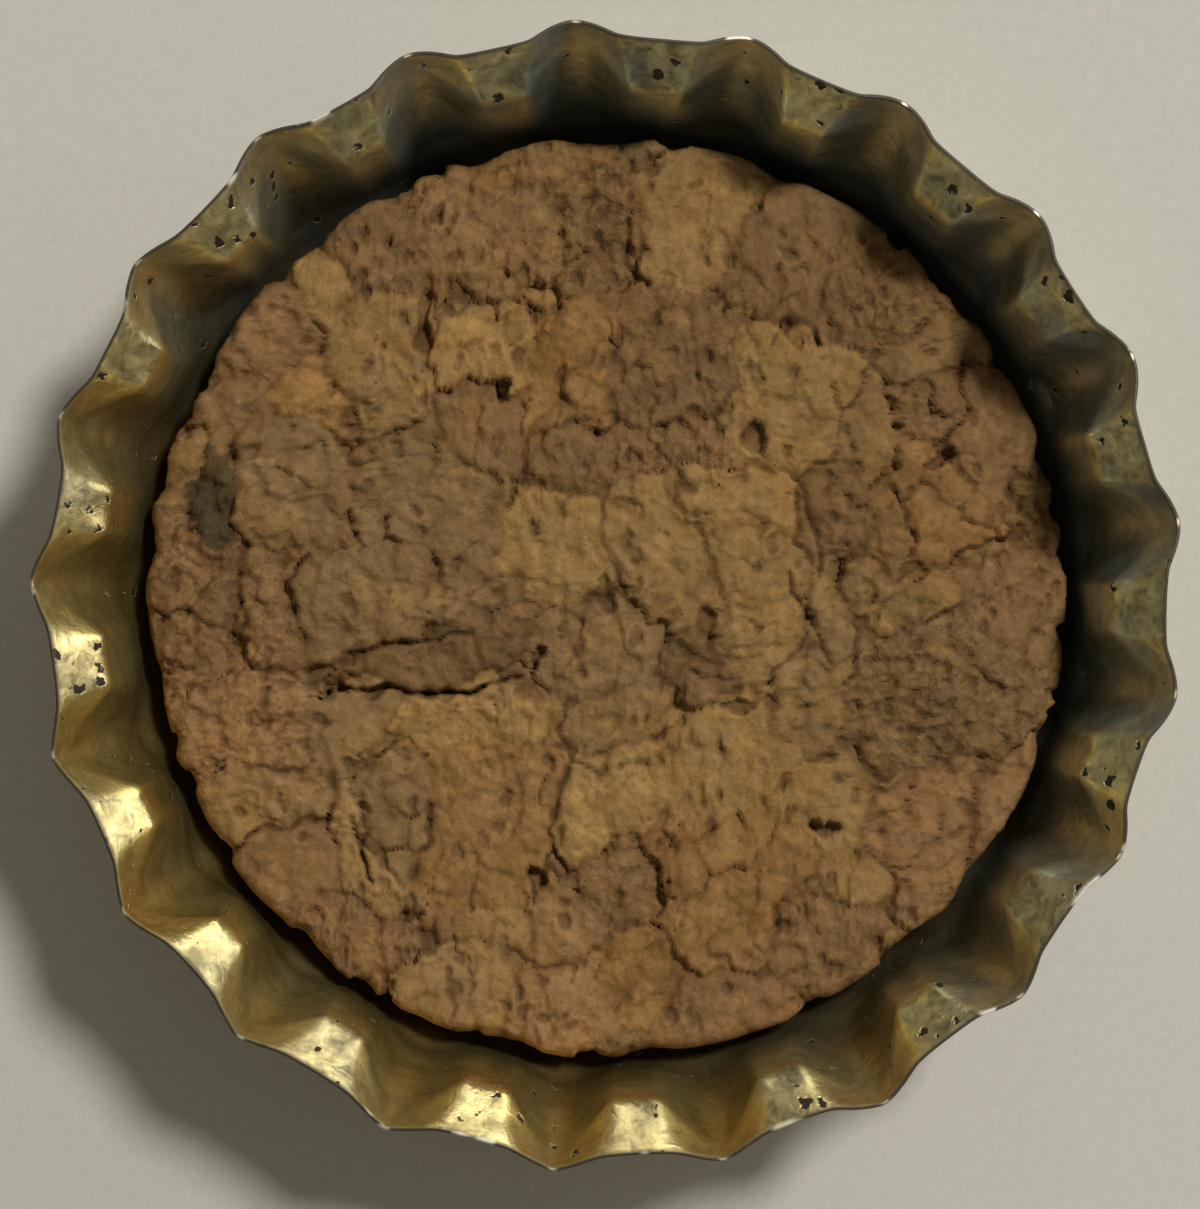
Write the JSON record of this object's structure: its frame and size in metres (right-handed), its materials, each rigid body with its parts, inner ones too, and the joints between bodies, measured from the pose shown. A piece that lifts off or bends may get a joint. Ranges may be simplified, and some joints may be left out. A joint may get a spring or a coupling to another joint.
{
  "type": "bottle cap",
  "caption": "Crown cap for a glass bottle before crimping: fluted tinplate shell lying mouth up, with a cork sealing disc inside.",
  "frame": {"origin": "centre of the outer face of the flat panel, which the cap lies on", "axes": "+Z along the axis of the cap, out of its open mouth; one ridge of the skirt points along +Y"},
  "size_m": [0.032, 0.0319, 0.0067],
  "materials": {
    "lacquered_tinplate": "aged gold lacquer on tinplate, dulled and speckled with age",
    "agglomerated_cork": "dry matt pressed cork granules with dark cracks"
  },
  "bodies": {
    "root": {"crown_shell": "lacquered_tinplate", "cork_liner": "agglomerated_cork"}
  },
  "joints": []
}
